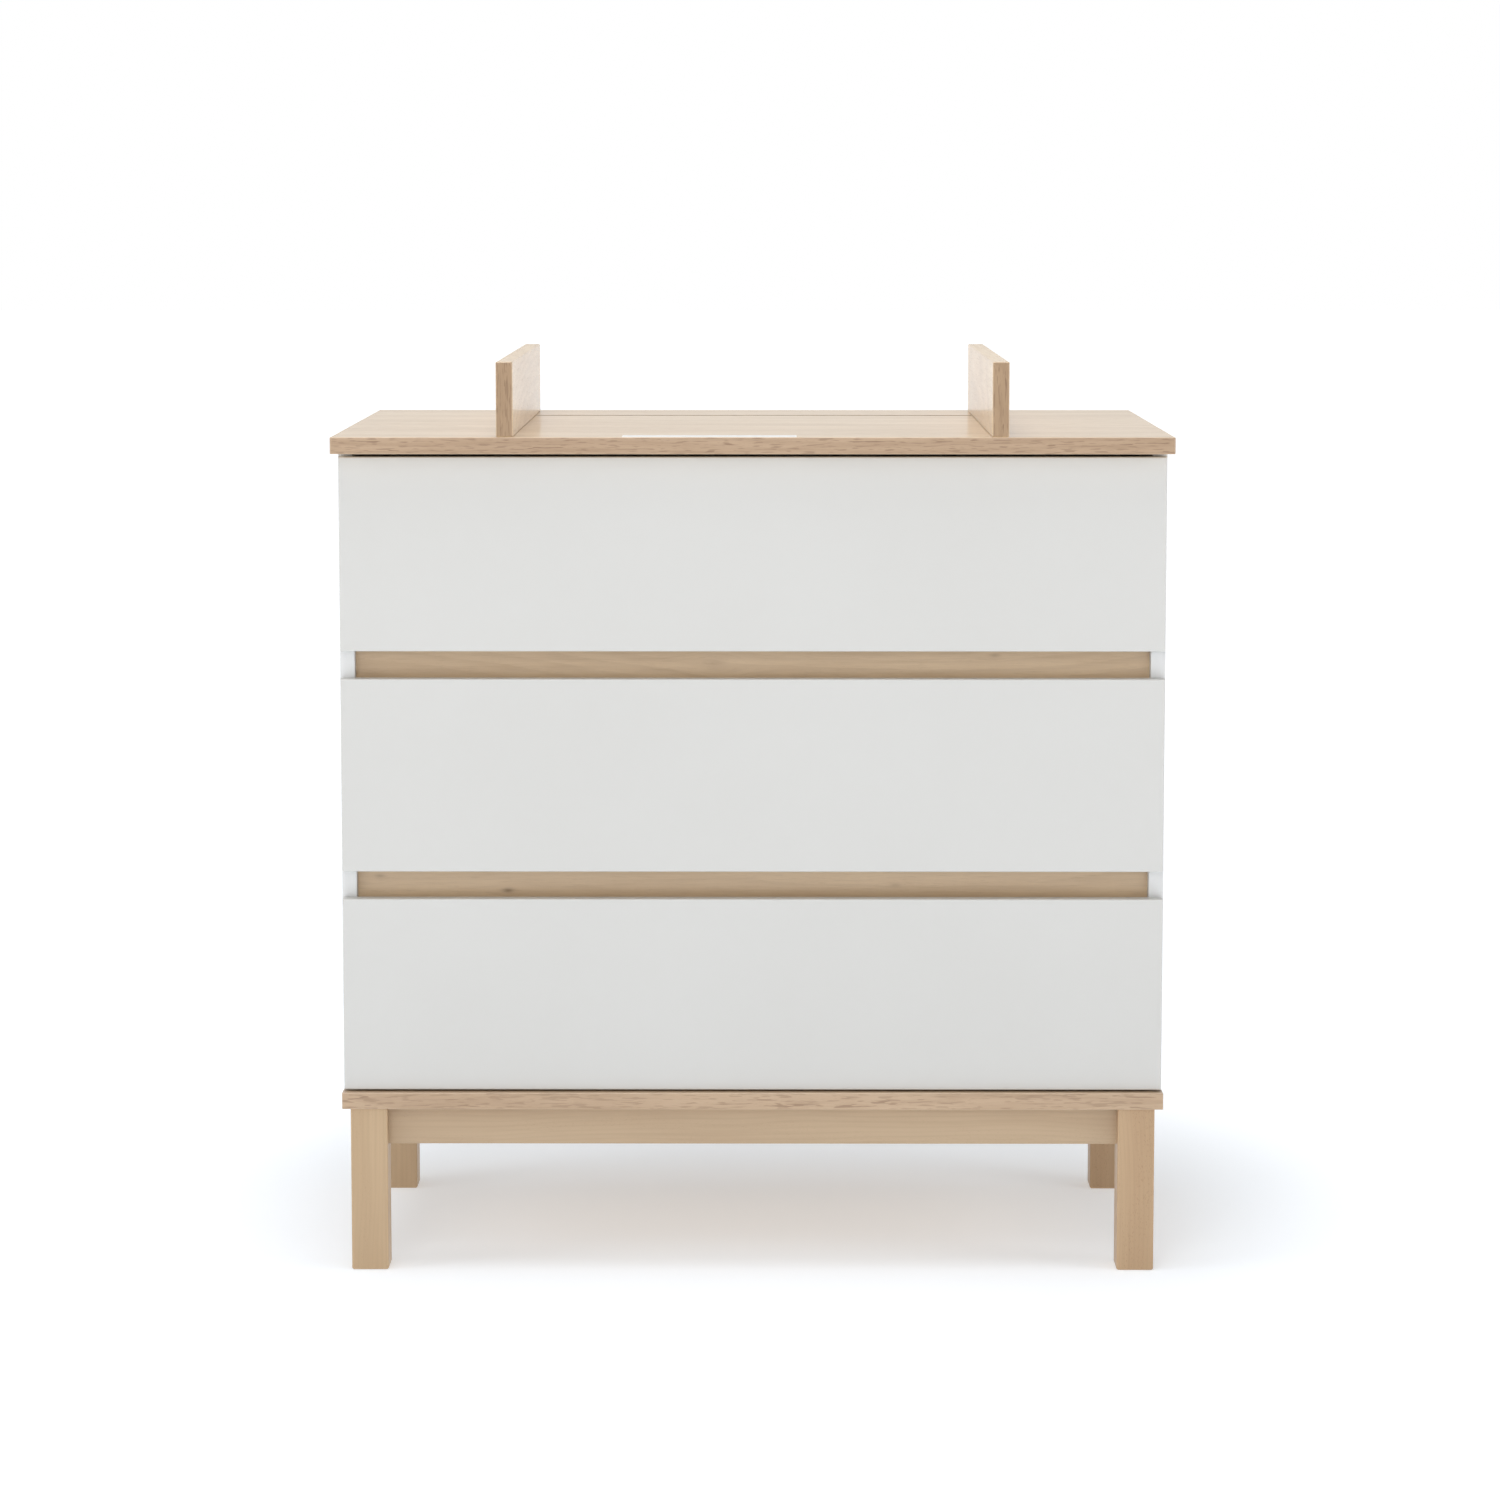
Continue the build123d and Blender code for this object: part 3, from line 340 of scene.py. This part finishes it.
# tone makes the broad faces paler and band makes the edge-banded faces darker: painted light and painted shade for how
# the light falls on tops, sides and front edges
oak_board = oak("oak_decor_board", "X", "Y", seed=0.0, tone=(1.28, 1.27, 1.07), face="Z", band=(0.611, 0.572, 0.613),
                groove=(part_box("back_panel")[0][1] - 0.004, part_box("back_panel")[0][1] + 0.012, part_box("top_board")[1][2]))
oak_base = oak("oak_decor_base", "X", "Y", seed=21.0, tone=(1.12, 1.12, 1.08), pores=0.7, face="Z", band=(0.785, 0.745, 0.705))
oak_rail = oak("oak_decor_rail", "Y", "Z", seed=43.0, tone=(1.36, 1.33, 1.04), face="XZ", band=(0.508, 0.463, 0.479))
oak_strip_upper = oak("oak_strip_upper", "X", "Y", tone=(1.35, 1.34, 1.20), pores=0.35, rings=0.8, seed=64.0, calm=1.0,
                      knots=((-0.040, 0.660, 0.030, 0.016, 0.20), (0.262, 0.668, 0.012, 0.005, 0.35)))
oak_strip_lower = oak("oak_strip_lower", "X", "Y", tone=(1.36, 1.35, 1.21), pores=0.35, rings=0.8, seed=87.0, calm=1.0,
                      knots=((-0.266, 0.411, 0.014, 0.006, 0.75), (-0.405, 0.427, 0.013, 0.005, 0.45),
                             (0.155, 0.417, 0.016, 0.006, 0.30)))
# the left and right legs are lit and shaded copies of one beech: the right-hand legs are painted darker, painted shade
# for the light falling from the left
LEG_L_PAINTED_LIT = ((0.550, 0.392, 0.237), (0.498, 0.347, 0.204))
LEG_R_PAINTED_SHADE = ((0.520, 0.352, 0.205), (0.462, 0.304, 0.172))
APRON = ((0.520, 0.382, 0.245), (0.474, 0.340, 0.214))
beech_left_painted_lit = beech("beech_left_painted_lit", "Z", "X", *LEG_L_PAINTED_LIT, flecks=0.45, seed=0.0)
beech_right_painted_shade = beech("beech_right_painted_shade", "Z", "X", *LEG_R_PAINTED_SHADE, flecks=1.0, seed=31.0)
beech_apron = beech("beech_apron", "X", "Z", *APRON, flecks=0.40, seed=57.0)
beech_side = beech("beech_apron_side", "Y", "Z", *APRON, flecks=0.40, seed=71.0)
white_front = lacquer("white_lacquer", (0.623, 0.615, 0.592), (0.612, 0.603, 0.579))
# the melamine white is made lighter than the lacquer's white: painted light making up for the shade on the panel edges
# in the finger gaps
white_board_painted_light = melamine("white_melamine", (0.770, 0.770, 0.762))
white_hardboard = hardboard("white_hardboard", (0.690, 0.685, 0.670))
zinc_steel = zinc("zinc_plated")
label_film = label("label_film")

LOOKS = {
    "top_board": oak_board, "bottom_board": oak_base,
    "changer_rail_left": oak_rail, "changer_rail_right": oak_rail,
    "cross_rail_upper": oak_strip_upper, "cross_rail_lower": oak_strip_lower,
    "leg_front_left": beech_left_painted_lit, "leg_rear_left": beech_left_painted_lit,
    "leg_front_right": beech_right_painted_shade, "leg_rear_right": beech_right_painted_shade,
    "apron_front": beech_apron, "apron_rear": beech_apron,
    "apron_left": beech_side, "apron_right": beech_side,
    "corner_blocks": beech_apron, "wood_dowels": beech_apron,
    "side_panel_left": white_board_painted_light, "side_panel_right": white_board_painted_light,
    "back_panel": white_hardboard, "blank_label": label_film,
}
for level in ("lower", "middle", "upper"):
    LOOKS[level + "_drawer_front"] = white_front
    for part in ("side_left", "side_right", "back"):
        LOOKS[level + "_drawer_" + part] = white_board_painted_light
    LOOKS[level + "_drawer_bottom"] = white_hardboard
for name, obj in nodes.items():
    look = LOOKS.get(name, zinc_steel)
    for material_slot in obj.material_slots:
        material_slot.material = look

# ------------------------------------------------------------ floor, light, camera
scene = bpy.context.scene
scene.view_settings.view_transform = "Standard"
scene.view_settings.look = "None"

mesh = bpy.data.meshes.new("studio_floor")
R = 40.0
mesh.from_pydata([(-R, -R, -0.0004), (R, -R, -0.0004), (R, R, -0.0004), (-R, R, -0.0004)], [], [(0, 1, 2, 3)])
floor = bpy.data.objects.new("studio_floor", mesh)
scene.collection.objects.link(floor)
s = Shader("studio_floor", Roughness=0.8, Specular_IOR_Level=0.0, Base_Color=(0.706, 0.752, 0.808, 1.0),
           Emission_Color=(1.0, 1.0, 1.0, 1.0))
# a light table: it glows a little more away from the object, where the softboxes no longer reach
away = s.math("SQRT", s.plus(s.times(s.p[0], s.p[0]), s.times(s.p[1], s.p[1])))
s.put(s.bsdf.inputs["Emission Strength"], s.plus(s.ramp(away, 0.48, 0.95, 0.38, 0.57), s.ramp(away, 1.0, 5.5, 0.0, 0.32)))
mesh.materials.append(s.mat)

# a pale surround: white round the horizon, softer overhead
world = bpy.data.worlds.new("studio")
scene.world = world
world.use_nodes = True
sky = world.node_tree
background = sky.nodes["Background"]
background.inputs["Color"].default_value = (1.0, 1.0, 1.0, 1.0)
direction = sky.nodes.new("ShaderNodeTexCoord")
parts = sky.nodes.new("ShaderNodeSeparateXYZ")
height = sky.nodes.new("ShaderNodeMapRange")
height.interpolation_type = "SMOOTHSTEP"
for socket, value in zip(height.inputs[1:5], (0.12, 0.30, 1.0, 0.25)):
    socket.default_value = value
sky.links.new(direction.outputs["Generated"], parts.inputs[0])
sky.links.new(parts.outputs[2], height.inputs[0])
sky.links.new(height.outputs[0], background.inputs["Strength"])


def softbox(name, at, aim, size, power):
    data = bpy.data.lights.new(name, "AREA")
    data.shape = "RECTANGLE"
    data.size, data.size_y = size
    data.energy = power
    lamp = bpy.data.objects.new(name, data)
    scene.collection.objects.link(lamp)
    lamp.location = at
    direction = [b - a for a, b in zip(at, aim)]
    yaw = math.atan2(direction[1], direction[0])
    pitch = math.atan2(direction[2], math.hypot(direction[0], direction[1]))
    lamp.rotation_euler = (math.pi / 2 + pitch, 0.0, yaw - math.pi / 2)
    return lamp


softbox("softbox_main", (-0.7, -3.9, 3.6), (0.0, -0.2, 0.4), (2.4, 2.0), 27.0)
softbox("softbox_above", (-0.3, -0.4, 5.0), (0.0, -0.1, 0.5), (3.2, 3.0), 121.0)
softbox("softbox_front", (-0.6, -4.8, 2.3), (0.0, -0.1, 0.45), (2.0, 1.0), 28.0)
softbox("softbox_left", (-3.4, -1.5, 1.9), (0.0, -0.1, 0.5), (1.4, 1.4), 16.0)
softbox("softbox_right", (3.4, -1.5, 1.9), (0.0, -0.1, 0.5), (1.4, 1.4), 17.0)

camera = bpy.data.objects.new("camera", bpy.data.cameras.new("camera"))
scene.collection.objects.link(camera)
camera.data.sensor_width = 36.0
camera.data.lens = 104.05
camera.data.shift_y = -0.06
camera.location = (0.0152, -4.9069, 1.1600)
camera.rotation_euler = (math.radians(90.0 - 6.083), 0.0, math.radians(0.222))
camera.data.clip_start, camera.data.clip_end = 0.1, 200.0
scene.camera = camera
